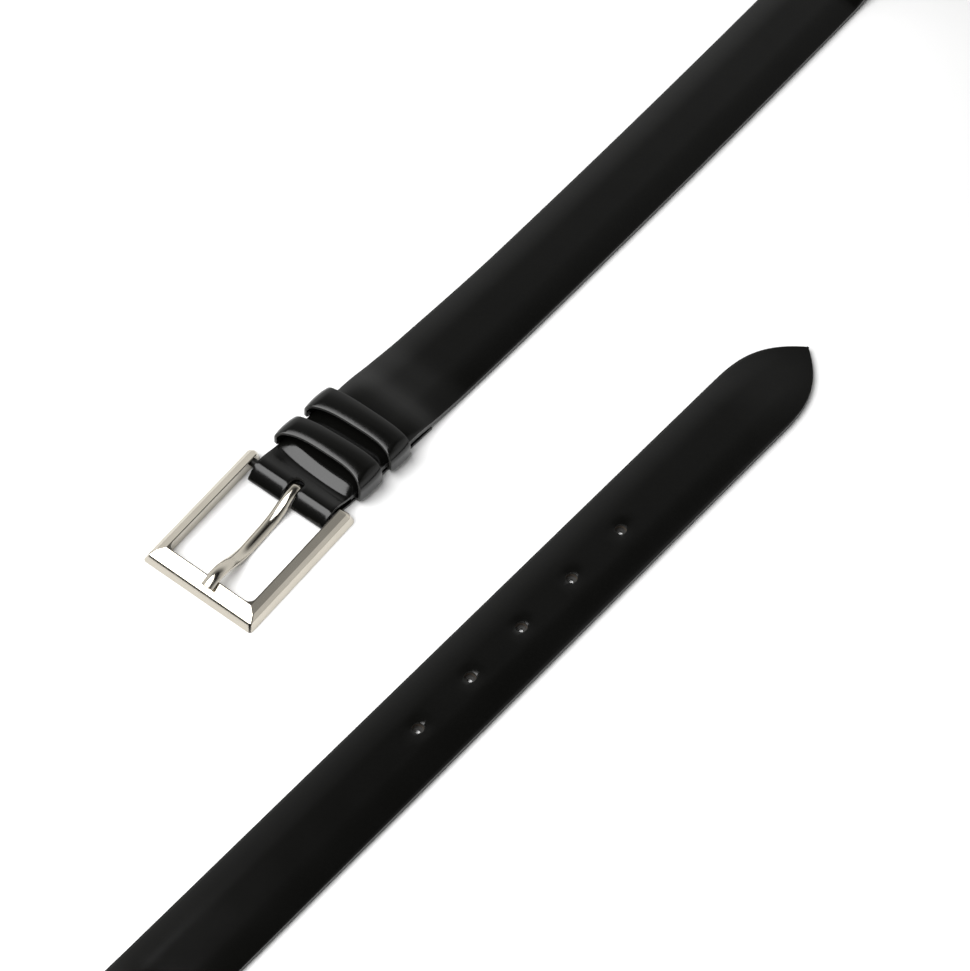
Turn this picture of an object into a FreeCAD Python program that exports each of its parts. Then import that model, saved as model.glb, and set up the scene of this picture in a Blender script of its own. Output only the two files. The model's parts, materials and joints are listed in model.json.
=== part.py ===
"""Gentleman's dress belt: a padded leather strap with a bar buckle, a prong and two keeper loops.

The model is first laid out from the middle of the buckle bar: X runs along the buckle end of the strap,
away from the buckle, and Z is up from the surface that the belt lies on. Both ends of the strap lie flat
with the grain up, and its middle stands on edge in a loose loop. Every sub-part is then moved so that the
origin is the middle of the belt's footprint. All sizes are in millimetres.
"""
import FreeCAD, Part
import math
import os

import Sketcher

V = FreeCAD.Vector
UP = V(0, 0, 1)
ORIGIN = V(0, 0, 0)

doc = FreeCAD.newDocument("leather_belt")
sheet = doc.addObject("Spreadsheet::Sheet", "Dimensions")

DRIVING = {
    # strap, in section
    "strap_width": 30.0, "lining_thick": 1.1, "padding_thick": 1.2, "grain_thick": 1.2,
    "padding_width": 24.0, "padding_flat": 18.0,
    # strap, along its length
    "tail_offset": 88.1, "tip_ahead": 160.5, "point_length": 35.5, "point_power": 3.2,
    "tip_to_hole": 99.8, "hole_pitch": 25.0, "hole_count": 5, "hole_radius": 2.0,
    "loop_radius": 32.0, "twist_length": 85.0,
    "twist_turn": 62.0, "flat_start": 288.0, "flat_turn": 2.65, "flat_tail_from": -155.0,
    "side_heading": -143.6, "near_heading": -210.0,
    # fold at the bar
    "bar_radius": 1.6, "running_gap": 0.05, "tape_thick": 0.25, "flap_end": 50.0,
    "pocket_depth": 1.5, "pocket_end": 41.0, "ramp_end": 66.0, "fold_flat_from": 6.5,
    "padding_start": 9.8, "slot_width": 5.0, "slot_end": 4.2, "skew_deg": 4.0,
    # buckle
    "frame_half_width": 21.7, "window_half_width": 17.3, "frame_front": 49.2, "window_front": 43.5,
    "frame_rear": 4.0, "frame_deep": 4.8, "frame_clear": 0.1, "front_wall": 2.3, "frame_shift": 1.6,
    "inner_corner": 2.5, "outer_corner": 1.2, "side_bevel": 0.8, "bar_half_length": 20.0,
    # prong
    "prong_width": 3.8, "prong_eye_wall": 0.95, "prong_thick": 1.8, "prong_yaw": 2.0, "prong_shift": 0.8,
    # keepers
    "keeper_inner_half": 16.4, "keeper_wall": 1.6, "keeper_rise": 4.2, "keeper_corner": 4.0,
    "keeper_low_corner": 1.0, "front_keeper_at": 11.5, "front_keeper_wide": 11.0,
    "rear_keeper_at": 28.0, "rear_keeper_wide": 9.5, "rear_keeper_base": 1.2,
    "staple_length": 8.0, "staple_wide": 1.4, "staple_thick": 0.5,
    # sewing
    "stitch_length": 3.6, "stitch_pitch": 4.4, "thread_wide": 0.8, "thread_deep": 0.4,
}
for row, (name, value) in enumerate(DRIVING.items(), start=1):
    sheet.set(f"A{row}", name)
    sheet.set(f"B{row}", str(value))
    sheet.setAlias(f"B{row}", name)
doc.recompute()


def dim(name):
    """A driving dimension, read back from the sheet."""
    return float(sheet.get(name))


HALF = dim("strap_width") / 2
LINING = dim("lining_thick")
PADDING = dim("padding_thick")
GRAIN = dim("grain_thick")
ROLL = dim("bar_radius") + dim("running_gap") + dim("tape_thick") + GRAIN  # outside radius of the fold
BAR_HEIGHT = ROLL  # the fold rests on the surface
RAISED = GRAIN + dim("pocket_depth")  # the strap's underside where it lies over the flap and the keepers
STRAP_TOP = RAISED + LINING + PADDING + GRAIN


# ---------------------------------------------------------------- route of the strap

def arc_step(point, heading, length, turn):
    """The point and heading after a run of even curvature; angles in radians."""
    middle = heading + turn / 2
    chord = length if abs(turn) < 1e-9 else length * math.sin(turn / 2) / (turn / 2)
    return point + V(chord * math.cos(middle), chord * math.sin(middle), 0), heading + turn


def walk(stretches):
    """Stations along the route: (point, heading, roll). A stretch is (length, turn, roll at its two
    ends, number of spans, ease), where ease 1 puts the turn late in the stretch and -1 early."""
    point, heading = V(0, 0, 0), 0.0
    stations = [(point, heading, 0.0)]
    for length, turn, roll_from, roll_to, spans, ease in stretches:
        for span in range(spans):
            middle = (span + 0.5) / spans
            weight = 1.0 + ease * (2 * middle - 1)
            point, heading = arc_step(point, heading, length / spans, math.radians(turn) * weight / spans)
            done = (span + 1) / spans
            roll = roll_from + (roll_to - roll_from) * done * done * (3 - 2 * done)
            stations.append((point, heading, math.radians(roll)))
    return stations


def arc_stretch(turn, spans):
    """A bend of the standing strap round a loop of the usual radius."""
    return (math.radians(abs(turn)) * dim("loop_radius"), turn, 90.0, 90.0, spans, 0)


SIDE, NEAR = dim("side_heading"), dim("near_heading")
TWIST, EASED = dim("twist_length"), dim("twist_turn")
TWIST_SPANS = 10


def stretches(side_run, near_run):
    """The strap from the bar to where the tail lies flat again."""
    return [
        (dim("flat_start"), dim("flat_turn"), 0.0, 0.0, 6, 0),
        (TWIST, -EASED, 0.0, 90.0, TWIST_SPANS, 1),
        arc_stretch(SIDE - dim("flat_turn") + EASED, 8),
        (side_run, 0.0, 90.0, 90.0, 1, 0),
        arc_stretch(NEAR - SIDE, 7),
        (near_run, 0.0, 90.0, 90.0, 1, 0),
        arc_stretch(-360.0 - NEAR + EASED, 9),
        (TWIST, -EASED, 90.0, 0.0, TWIST_SPANS, -1),
    ]


def close_route():
    """The two straight runs that bring the tail back beside the buckle end, parallel to it."""
    short = walk(stretches(0.0, 0.0))[-1][0]
    missing = V(dim("flat_tail_from"), -dim("tail_offset"), 0) - short
    side = V(math.cos(math.radians(SIDE)), math.sin(math.radians(SIDE)), 0)
    near = V(math.cos(math.radians(NEAR)), math.sin(math.radians(NEAR)), 0)
    cross = side.x * near.y - side.y * near.x
    side_run = (missing.x * near.y - missing.y * near.x) / cross
    near_run = (side.x * missing.y - side.y * missing.x) / cross
    return side_run, near_run


SIDE_RUN, NEAR_RUN = close_route()
ROUTE = walk(stretches(SIDE_RUN, NEAR_RUN))
HIDDEN = sum(stretch[0] for stretch in stretches(SIDE_RUN, NEAR_RUN))
TAIL_RUN = dim("tip_ahead") - dim("flat_tail_from")
print("strap from bar to tip: %.0f mm, side run %.1f, near run %.1f"
      % (HIDDEN + TAIL_RUN, SIDE_RUN, NEAR_RUN))


# ---------------------------------------------------------------- stations of the strap

def station(point, heading, roll=0.0, lift=0.0, crown=1.0, half=HALF):
    """One cross-section's place. The strap rolls towards its left edge, which stays on the surface."""
    left = V(-math.sin(heading), math.cos(heading), 0)
    across = left * math.cos(roll) - UP * math.sin(roll)
    outward = UP * math.cos(roll) + left * math.sin(roll)
    base = point + UP * (half * math.sin(roll) + lift)
    return {"base": base, "across": across, "outward": outward, "crown": crown, "half": half}


def along_flat(x, lift, crown=1.0):
    """A station of the buckle end, x along it from the bar."""
    turn = math.radians(dim("flat_turn")) * x / dim("flat_start")
    point, heading = arc_step(V(0, 0, 0), 0.0, x, turn)
    return station(point, heading, 0.0, lift, crown)


def buckle_end_stations():
    start = dim("padding_start")
    low = 0.08
    places = [
        (start - 0.8, RAISED, 0.0), (start, RAISED, low), (start + 1.7, RAISED, 1.0),
        (dim("pocket_end"), RAISED, 1.0), (dim("flap_end"), GRAIN, 1.0), (dim("ramp_end"), 0.0, 1.0),
    ]
    return [along_flat(*place) for place in places]


def tip_stations():
    """The pointed tail. Its half width falls off as one minus a power of the way along the point."""
    found = []
    for part in (0.0, 0.2, 0.4, 0.55, 0.68, 0.78, 0.86, 0.92, 0.96, 0.985):
        x = dim("tip_ahead") - dim("point_length") * (1 - part)
        half = max(HALF * (1 - part ** dim("point_power")), 0.8)
        crown = max(1 - part / 0.4, 0.0) if part < 0.39 else (0.06 if part < 0.5 else 0.0)
        found.append(station(V(x, -dim("tail_offset"), 0), 0.0, 0.0, 0.0, crown, half))
    return found


FLAT_STATIONS = [station(*place) for place in ROUTE[2:]]
STATIONS = buckle_end_stations() + FLAT_STATIONS + tip_stations()
LINED = STATIONS[1:]  # the lining and padding start a little behind the fold
PADDED = [place for place in LINED if place["crown"] > 0]


def section(place, outline):
    """A closed wire of (across, outward) points in one station's plane."""
    points = [place["base"] + place["across"] * u + place["outward"] * v for u, v in outline]
    return Part.makePolygon(points + [points[0]])


def loft(places, outline_at):
    """One solid through the sections of consecutive stations."""
    return Part.makeLoft([section(place, outline_at(place)) for place in places], True, True)


def lining_outline(place):
    half = place["half"]
    return [(-half, 0), (half, 0), (half, LINING), (-half, LINING)]


def padding_foot(place):
    """Half width of the padding where it meets the lining, and half width of its flat top."""
    share = place["half"] / HALF
    return dim("padding_width") / 2 * share, dim("padding_flat") / 2 * share


def padding_outline(place):
    foot, flat = padding_foot(place)
    top = LINING + PADDING * place["crown"]
    return [(-foot, LINING), (foot, LINING), (flat, top), (-flat, top)]


def grain_outline(place):
    """The outer leather: flat on the lining at its edges, domed over the padding."""
    foot, flat = padding_foot(place)
    half = place["half"]
    rise = PADDING * place["crown"]
    under = [(-half, LINING), (-foot, LINING), (-flat, LINING + rise)]
    under += [(-u, v) for u, v in reversed(under)]
    over = []
    for part in (1.0, 0.85, 0.5, 0.0, -0.5, -0.85, -1.0):
        over.append((half * part, LINING + GRAIN + rise * (1 - abs(part) ** 3)))
    return under + over


# ---------------------------------------------------------------- small helpers

SKEW = FreeCAD.Placement(ORIGIN, FreeCAD.Rotation(UP, dim("skew_deg")))
parts = []  # the sub-parts, in the order they are written
placed = []  # what is moved to the part's own origin at the end


def keep(obj, label):
    """Names a sub-part and keeps it for writing."""
    obj.Label = label
    parts.append(obj)
    placed.append(obj)
    return obj


def feature(label, shape):
    """A sub-part whose shape is worked out here from the sheet's sizes."""
    obj = doc.addObject("Part::Feature", label)
    obj.Shape = shape
    return keep(obj, label)


def new_sketch(body, name, role):
    sketch = body.newObject("Sketcher::SketchObject", name)
    plane = next(item for item in body.Origin.OriginFeatures if item.Role == role)
    sketch.AttachmentSupport = [(plane, "")]
    sketch.MapMode = "FlatFace"
    return sketch


def polygon(sketch, points):
    """Straight lines through the points, joined end to end and closed."""
    first = sketch.GeometryCount
    count = len(points)
    for index, point in enumerate(points):
        sketch.addGeometry(Part.LineSegment(V(*point, 0), V(*points[(index + 1) % count], 0)), False)
    for index in range(count):
        other = first + (index + 1) % count
        sketch.addConstraint(Sketcher.Constraint("Coincident", first + index, 2, other, 1))
    return first


def rectangle(sketch, low_x, high_x, low_y, high_y, bound):
    """A rectangle; bound gives the sheet expression of each side's place, in the order of the values."""
    first = polygon(sketch, [(low_x, low_y), (high_x, low_y), (high_x, high_y), (low_x, high_y)])
    for side, kind in enumerate(("Horizontal", "Vertical", "Horizontal", "Vertical")):
        sketch.addConstraint(Sketcher.Constraint(kind, first + side))
    places = (("DistanceX", 3, low_x), ("DistanceX", 1, high_x),
              ("DistanceY", 0, low_y), ("DistanceY", 2, high_y))
    for (kind, side, value), words in zip(places, bound):
        mark = sketch.addConstraint(Sketcher.Constraint(kind, -1, 1, first + side, 1, value))
        sketch.setExpression(f"Constraints[{mark}]", words)
    return first


def circle(sketch, x, y, radius, words):
    """A circle centred on the sketch's own point (x, y), with its radius bound to the sheet."""
    first = sketch.addGeometry(Part.Circle(V(x, y, 0), UP, radius), False)
    sketch.addConstraint(Sketcher.Constraint("DistanceX", -1, 1, first, 3, x))
    sketch.addConstraint(Sketcher.Constraint("DistanceY", -1, 1, first, 3, y))
    mark = sketch.addConstraint(Sketcher.Constraint("Radius", first, radius))
    sketch.setExpression(f"Constraints[{mark}]", words)


def pad(body, name, profile, words, midplane=False, cut=False):
    solid = body.newObject("PartDesign::Pocket" if cut else "PartDesign::Pad", name)
    solid.Profile = profile
    solid.setExpression("Length", words)
    solid.Midplane = midplane
    return solid


def edges_where(shape, test):
    return [f"Edge{index}" for index, edge in enumerate(shape.Edges, start=1) if test(edge)]


def upright_edge(edge, x, y=None):
    box = edge.BoundBox
    at_y = y is None or abs(abs(box.Center.y) - y) < 0.05
    upright = box.ZLength > 1 and box.XLength < 0.01 and box.YLength < 0.01
    return upright and abs(box.Center.x - x) < 0.05 and at_y


# ---------------------------------------------------------------- buckle frame and bar

def make_buckle_frame():
    """A cast U-shaped frame: two side bars, and a front bar with a broad sloping face."""
    body = doc.addObject("PartDesign::Body", "buckle_frame")
    front, rear = -dim("frame_front"), dim("frame_rear")
    half, inner, deep = dim("frame_half_width"), dim("window_half_width"), dim("frame_deep")
    outline = new_sketch(body, "frame_outline", "XY_Plane")
    rectangle(outline, front, rear, -half, half, (
        "Dimensions.frame_front * -1", "Dimensions.frame_rear",
        "Dimensions.frame_half_width * -1", "Dimensions.frame_half_width"))
    pad(body, "frame_block", outline, "Dimensions.frame_deep")
    window = new_sketch(body, "window_outline", "XY_Plane")
    rectangle(window, -dim("window_front"), rear + 1, -inner, inner, (
        "Dimensions.window_front * -1", "Dimensions.frame_rear + 1",
        "Dimensions.window_half_width * -1", "Dimensions.window_half_width"))
    opening = pad(body, "window", window, "Dimensions.frame_deep * 3", midplane=True, cut=True)
    doc.recompute()
    radii = (("inner_corner", -dim("window_front"), inner), ("outer_corner", front, half))
    last = opening
    for name, x, y in radii:
        last = fillet(body, last, name, lambda edge: upright_edge(edge, x, y))
    last = fillet(body, last, "rear_round", lambda edge: upright_edge(edge, rear))
    slope = new_sketch(body, "slope_outline", "XZ_Plane")
    polygon(slope, [(-dim("window_front") - 0.9, deep), (front - 1, deep),
                    (front - 1, dim("front_wall") - 0.5),
                    (front, dim("front_wall"))])
    pad(body, "front_slope", slope, "Dimensions.frame_half_width * 3", midplane=True, cut=True)
    doc.recompute()
    bevel = body.newObject("PartDesign::Chamfer", "side_bevels")
    sloped = body.getObject("front_slope")
    bevel.Base = (sloped, edges_where(sloped.Shape, is_side_rim))
    bevel.setExpression("Size", "Dimensions.side_bevel")
    doc.recompute()
    holes = new_sketch(body, "bar_hole_outline", "XZ_Plane")
    circle(holes, 0, BAR_HEIGHT - dim("frame_clear"), dim("bar_radius"), "Dimensions.bar_radius")
    pad(body, "bar_holes", holes, "Dimensions.bar_half_length * 2", midplane=True, cut=True)
    keep(body, "buckle_frame")
    place = V(0, dim("frame_shift"), dim("frame_clear"))
    body.Placement = SKEW * FreeCAD.Placement(place, FreeCAD.Rotation())
    return body


def is_side_rim(edge):
    box = edge.BoundBox
    top = abs(box.ZMin - dim("frame_deep")) < 0.01 and box.ZLength < 0.01
    outside = abs(box.YMin) > dim("window_half_width") + 1
    return top and box.YLength < 0.01 and box.XLength > 20 and outside


def fillet(body, base, name, test):
    """Rounds the upright edges that the test picks. A side bar's rear end is almost fully round."""
    rounding = body.newObject("PartDesign::Fillet", name)
    rounding.Base = (base, edges_where(base.Shape, test))
    if name == "rear_round":
        arm_wide = "Dimensions.frame_half_width - Dimensions.window_half_width"
        rounding.setExpression("Radius", f"({arm_wide}) * 0.48")
    else:
        rounding.setExpression("Radius", f"Dimensions.{name}")
    doc.recompute()
    return rounding


def make_buckle_bar():
    """The steel bar that the strap folds round, pressed into both side bars."""
    bar = doc.addObject("Part::Cylinder", "buckle_bar")
    bar.setExpression("Radius", "Dimensions.bar_radius")
    bar.setExpression("Height", "Dimensions.bar_half_length * 2")
    start = V(0, dim("frame_shift") + dim("bar_half_length"), BAR_HEIGHT)
    bar.Placement = SKEW * FreeCAD.Placement(start, FreeCAD.Rotation(V(1, 0, 0), 90))
    return keep(bar, "buckle_bar")


def make_prong():
    """An eye that turns on the bar, and a gently curved arm that rests on the front bar."""
    body = doc.addObject("PartDesign::Body", "prong")
    eye = dim("bar_radius") + dim("running_gap")
    outer = eye + dim("prong_eye_wall")
    eye_words = "Dimensions.bar_radius + Dimensions.running_gap"
    ring = new_sketch(body, "eye_outline", "XZ_Plane")
    circle(ring, 0, 0, outer, f"{eye_words} + Dimensions.prong_eye_wall")
    pad(body, "eye_block", ring, "Dimensions.prong_width", midplane=True)
    arm = new_sketch(body, "arm_outline", "XZ_Plane")
    arm.AttachmentOffset = FreeCAD.Placement(ORIGIN, FreeCAD.Rotation(V(0, 1, 0), dim("prong_yaw")))
    rest = dim("frame_clear") + dim("frame_deep") - BAR_HEIGHT + 0.05
    thick = dim("prong_thick")
    low = 0.15 + thick / 2 - BAR_HEIGHT  # the arm dips almost to the surface, then rises over the front bar
    middle = [(0.0, outer - thick / 2 - 0.02), (-4.5, 1.15), (-9.0, low + 1.1), (-14.0, low + 0.15),
              (-20.0, low), (-26.0, low + 0.25), (-31.0, low + 1.5), (-36.0, rest + 0.35),
              (-41.0, rest + thick / 2 + 0.7), (-44.5, rest + thick / 2 + 0.6), (-47.8, rest + thick / 2 - 0.3)]
    sides = []
    for shift in (thick / 2, -thick / 2):
        side = Part.BSplineCurve()
        side.interpolate([V(x, z + shift, 0) for x, z in middle])
        sides.append(arm.addGeometry(side, False))
    ends = [Part.LineSegment(V(x, z + thick / 2, 0), V(x, z - thick / 2, 0))
            for x, z in (middle[0], middle[-1])]
    ends = [arm.addGeometry(end, False) for end in ends]
    for end, (line, place) in enumerate(zip(ends, (1, 2))):
        arm.addConstraint(Sketcher.Constraint("Coincident", line, 1, sides[0], place))
        arm.addConstraint(Sketcher.Constraint("Coincident", line, 2, sides[1], place))
    pad(body, "arm", arm, "Dimensions.prong_width", midplane=True)
    hole = new_sketch(body, "eye_hole_outline", "XZ_Plane")
    circle(hole, 0, 0, eye, eye_words)
    pad(body, "eye_hole", hole, "Dimensions.prong_width * 3", midplane=True, cut=True)
    keep(body, "prong")
    body.Placement = SKEW * FreeCAD.Placement(V(0, dim("prong_shift"), BAR_HEIGHT), FreeCAD.Rotation())
    return body


# ---------------------------------------------------------------- fold round the bar

def half_ring(inner, outer):
    """The front half of a ring round the bar, as a face in the XZ plane."""
    centre = V(0, 0, BAR_HEIGHT)

    def arc(radius):
        return Part.Arc(centre + UP * radius, centre - V(radius, 0, 0), centre - UP * radius).toShape()
    ends = [Part.LineSegment(centre + UP * side * inner, centre + UP * side * outer).toShape()
            for side in (1, -1)]
    return Part.Face(Part.Wire(Part.sortEdges([arc(inner), arc(outer)] + ends)[0]))


def sheet_run(points, thick):
    """A sheet's face in the XZ plane: its underside through the points, its top a thickness above."""
    under = [V(x, 0, z) for x, z in points]
    over = [point + UP * thick for point in reversed(under)]
    return Part.Face(Part.makePolygon(under + over + [under[0]]))


def skewed_band(faces, half, end):
    """Faces drawn across the bar, carried along the bar and trimmed to the strap's own edges."""
    solids = [face.translated(V(0, -2 * half, 0)).extrude(V(0, 4 * half, 0)) for face in faces]
    band = solids[0].fuse(solids[1:]).removeSplitter()
    band.Placement = SKEW
    trim = Part.makeBox(end + 3 * ROLL, 2 * half, 3 * STRAP_TOP, V(-3 * ROLL, -half, -STRAP_TOP))
    return band.common(trim)


def prong_slot():
    """The round-ended slot in the fold where the prong's eye sits on the bar."""
    radius = dim("slot_width") / 2
    centre = dim("slot_end") - radius
    deep = 4 * STRAP_TOP
    box = Part.makeBox(4 * ROLL + centre, 2 * radius, deep, V(-4 * ROLL, -radius, -STRAP_TOP))
    slot = box.fuse(Part.makeCylinder(radius, deep, V(centre, 0, -STRAP_TOP)))
    slot.Placement = SKEW * FreeCAD.Placement(V(0, dim("prong_shift"), 0), FreeCAD.Rotation())
    return slot


def fold_solid():
    """The outer leather round the bar, and its start towards the padding and the turned-back flap."""
    flat = dim("fold_flat_from")
    meets = dim("padding_start")
    crest = BAR_HEIGHT + ROLL - GRAIN
    ring = half_ring(ROLL - GRAIN, ROLL)
    top = sheet_run([(0, crest), (1.5, crest - 0.05), (flat, RAISED + LINING),
                     (meets + 1, RAISED + LINING)], GRAIN)
    bottom = sheet_run([(0, 0), (meets + 1, 0)], GRAIN)
    return skewed_band([ring, top, bottom], HALF, meets - 0.4).cut(prong_slot())


def tape_solid():
    """A strip of strong woven tape, glued inside the fold to carry the pull of the bar."""
    inner = dim("bar_radius") + dim("running_gap")
    thick = dim("tape_thick")
    crest = BAR_HEIGHT + inner
    flat = dim("fold_flat_from")
    ring = half_ring(inner, inner + thick)
    under = RAISED + LINING - thick
    top = sheet_run([(0, crest), (1.5, crest - 0.05), (flat, under), (9, under)], thick)
    bottom = sheet_run([(0, GRAIN), (9, GRAIN)], thick)
    return skewed_band([ring, top, bottom], HALF - 2, 8.6).cut(prong_slot())


# ---------------------------------------------------------------- strap layers

def tail_holes():
    """The punched holes, from the one nearest the tip."""
    drills = []
    for index in range(int(dim("hole_count"))):
        x = dim("tip_ahead") - dim("tip_to_hole") - dim("hole_pitch") * index
        drills.append(Part.makeCylinder(dim("hole_radius"), 20, V(x, -dim("tail_offset"), -5)))
    return drills[0].fuse(drills[1:])


def stitches():
    """A row of stitches across the strap inside the front keeper: a bar of thread on the grain, one
    under the flap, each let into the leather by its own thickness."""
    deep, wide = dim("thread_deep"), dim("thread_wide")
    x = dim("front_keeper_at") + dim("front_keeper_wide") / 2 - wide / 2
    found = []
    for index in range(5):
        y = (index - 2) * dim("stitch_pitch") - dim("stitch_length") / 2
        found.append(Part.makeBox(wide, dim("stitch_length"), deep, V(x, y, 0)))
        if abs(index - 2) < 2:
            found.append(Part.makeBox(wide, dim("stitch_length"), deep, V(x, y, STRAP_TOP - deep)))
    return found


def make_strap():
    holes = tail_holes()
    thread = stitches()
    feature("stitch_thread", Part.makeCompound(thread))
    flap_start = dim("padding_start") - 0.8
    flap = Part.makeBox(dim("flap_end") - flap_start, 2 * HALF, GRAIN, V(flap_start, -HALF, 0))
    grain = loft(STATIONS, grain_outline).cut(holes)
    grain = grain.fuse([fold_solid(), flap]).cut(thread)
    feature("outer_leather", grain)
    feature("lining", loft(LINED, lining_outline).cut(holes))
    feature("padding_core", loft(PADDED, padding_outline).cut(holes))
    feature("fold_tape", tape_solid())


# ---------------------------------------------------------------- keepers

def make_band(end, bottom, base):
    """A leather band bent to a loop round the strap, its ends butted in the pocket and stapled.
    bottom is the height of its underside, base the thickness of the stretch inside the pocket."""
    body = doc.addObject("PartDesign::Body", f"band_{end}")
    half, wall = dim("keeper_inner_half"), dim("keeper_wall")
    crown = STRAP_TOP + dim("keeper_rise") - bottom
    half_words = "Dimensions.keeper_inner_half"
    outer = new_sketch(body, "band_outside", "YZ_Plane")
    rectangle(outer, -half - wall, half + wall, 0, crown + wall, (
        f"({half_words} + Dimensions.keeper_wall) * -1", f"{half_words} + Dimensions.keeper_wall",
        "0", f"{crown:.4f} + Dimensions.keeper_wall"))
    pad(body, "band", outer, f"Dimensions.{end}_keeper_wide")
    inner = new_sketch(body, "band_inside", "YZ_Plane")
    rectangle(inner, -half, half, base, crown, (
        f"{half_words} * -1", half_words, f"{base:.4f}", f"{crown:.4f}"))
    last = pad(body, "opening", inner, f"Dimensions.{end}_keeper_wide * 3", midplane=True, cut=True)
    doc.recompute()
    corner = dim("keeper_corner")
    rounds = (("outer_top", half + wall, crown + wall, corner), ("inner_top", half, crown, corner - wall),
              ("outer_low", half + wall, 0, dim("keeper_low_corner") + 0.8),
              ("inner_low", half, base, dim("keeper_low_corner")))
    for label, y, z, radius in rounds:
        rounding = body.newObject("PartDesign::Fillet", label)
        rounding.Base = (last, edges_where(last.Shape, lambda edge: long_edge(edge, y, z)))
        rounding.Radius = radius
        doc.recompute()
        last = rounding
    body.Placement = FreeCAD.Placement(V(dim(f"{end}_keeper_at"), 0, bottom), FreeCAD.Rotation())
    return body


def long_edge(edge, y, z):
    box = edge.BoundBox
    runs_along = box.XLength > 1 and box.YLength < 0.01 and box.ZLength < 0.01
    return runs_along and abs(abs(box.Center.y) - y) < 0.02 and abs(box.Center.z - z) < 0.02


def staple_shape(end, top):
    """The wire staple across the keeper's butt joint: a flat crown with two legs, let into the base."""
    long, wide, thick = dim("staple_length"), dim("staple_wide"), dim("staple_thick")
    x = dim(f"{end}_keeper_at") + dim(f"{end}_keeper_wide") / 2 - wide / 2
    crown = Part.makeBox(wide, long, thick, V(x, -long / 2, top - thick))
    legs = [Part.makeBox(wide, thick, 2 * thick, V(x, y, top - 2 * thick))
            for y in (-long / 2, long / 2 - thick)]
    return crown.fuse(legs).removeSplitter()


def make_keepers():
    """The front keeper fills the pocket and is sewn in; the rear one has room to slide."""
    low = GRAIN + (dim("pocket_depth") - dim("rear_keeper_base")) / 2
    for end, bottom, base in (("front", GRAIN, dim("pocket_depth")),
                              ("rear", low, dim("rear_keeper_base"))):
        band = make_band(end, bottom, base)
        keeper = doc.addObject("Part::Cut", f"keeper_{end}")
        keeper.Base = band
        keeper.Tool = feature(f"keeper_{end}_staple", staple_shape(end, bottom + base))
        keeper.Label = f"keeper_{end}"
        parts.append(keeper)
        placed.append(band)


# ---------------------------------------------------------------- build, check and write

make_buckle_frame()
make_buckle_bar()
make_prong()
make_strap()
make_keepers()
doc.recompute()

for obj in doc.Objects:
    if "Invalid" in obj.State or "Error" in obj.State:
        raise RuntimeError(f"{obj.Label} failed: {obj.State}")

whole = Part.makeCompound([obj.Shape for obj in parts]).BoundBox
SHIFT = FreeCAD.Placement(V(-whole.Center.x, -whole.Center.y, -whole.ZMin), FreeCAD.Rotation())
print("bar centre in the part's frame: %.3f %.3f %.3f" % tuple(SHIFT.multVec(V(0, 0, BAR_HEIGHT))))
for obj in placed:
    obj.Placement = SHIFT * obj.Placement
doc.recompute()

os.makedirs("parts", exist_ok=True)
for obj in parts:
    shape = obj.Shape
    if shape.isNull() or not shape.isValid():
        raise RuntimeError(f"{obj.Label} has no valid shape")
    shape.exportStep(f"parts/{obj.Label}.step")
    box = shape.BoundBox
    print("%-22s solids %d faces %4d volume %8.1f  z %.2f to %.2f" % (
        obj.Label, len(shape.Solids), len(shape.Faces), shape.Volume, box.ZMin, box.ZMax))
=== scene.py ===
import bisect
import json
import math

import bpy
from mathutils import Matrix, Vector


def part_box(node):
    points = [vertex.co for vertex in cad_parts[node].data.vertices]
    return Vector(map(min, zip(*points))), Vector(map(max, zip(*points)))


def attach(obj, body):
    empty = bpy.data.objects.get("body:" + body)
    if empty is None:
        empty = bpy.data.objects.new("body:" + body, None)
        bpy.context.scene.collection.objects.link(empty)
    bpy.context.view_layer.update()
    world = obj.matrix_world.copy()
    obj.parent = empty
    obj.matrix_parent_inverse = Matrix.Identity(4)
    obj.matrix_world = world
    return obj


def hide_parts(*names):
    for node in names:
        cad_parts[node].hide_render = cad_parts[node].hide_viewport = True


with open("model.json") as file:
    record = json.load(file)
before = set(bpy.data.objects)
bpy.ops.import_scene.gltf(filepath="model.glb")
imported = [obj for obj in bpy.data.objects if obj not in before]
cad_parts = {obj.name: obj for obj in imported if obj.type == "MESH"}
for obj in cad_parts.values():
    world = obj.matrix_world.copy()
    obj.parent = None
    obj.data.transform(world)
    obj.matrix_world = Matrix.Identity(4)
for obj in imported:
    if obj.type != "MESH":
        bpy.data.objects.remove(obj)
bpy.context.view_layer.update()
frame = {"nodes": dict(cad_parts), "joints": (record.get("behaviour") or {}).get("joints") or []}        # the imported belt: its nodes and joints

MM = 0.001

# ------------------------------------------------------------------ where the belt is laid out from
# The middle of the buckle bar is where a belt is measured from. X runs from it along the buckle end of the
# strap, Y to the strap's left and Z up from the table.
HINGE = Vector(frame["joints"][0]["pos_m"])
BAR_DIRECTION = Vector(frame["joints"][0]["axis"]).normalized()
START = Vector((HINGE.x, HINGE.y, 0.0))
UP = Vector((0, 0, 1))
SKEW = math.atan2(-BAR_DIRECTION.x, BAR_DIRECTION.y)

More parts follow.
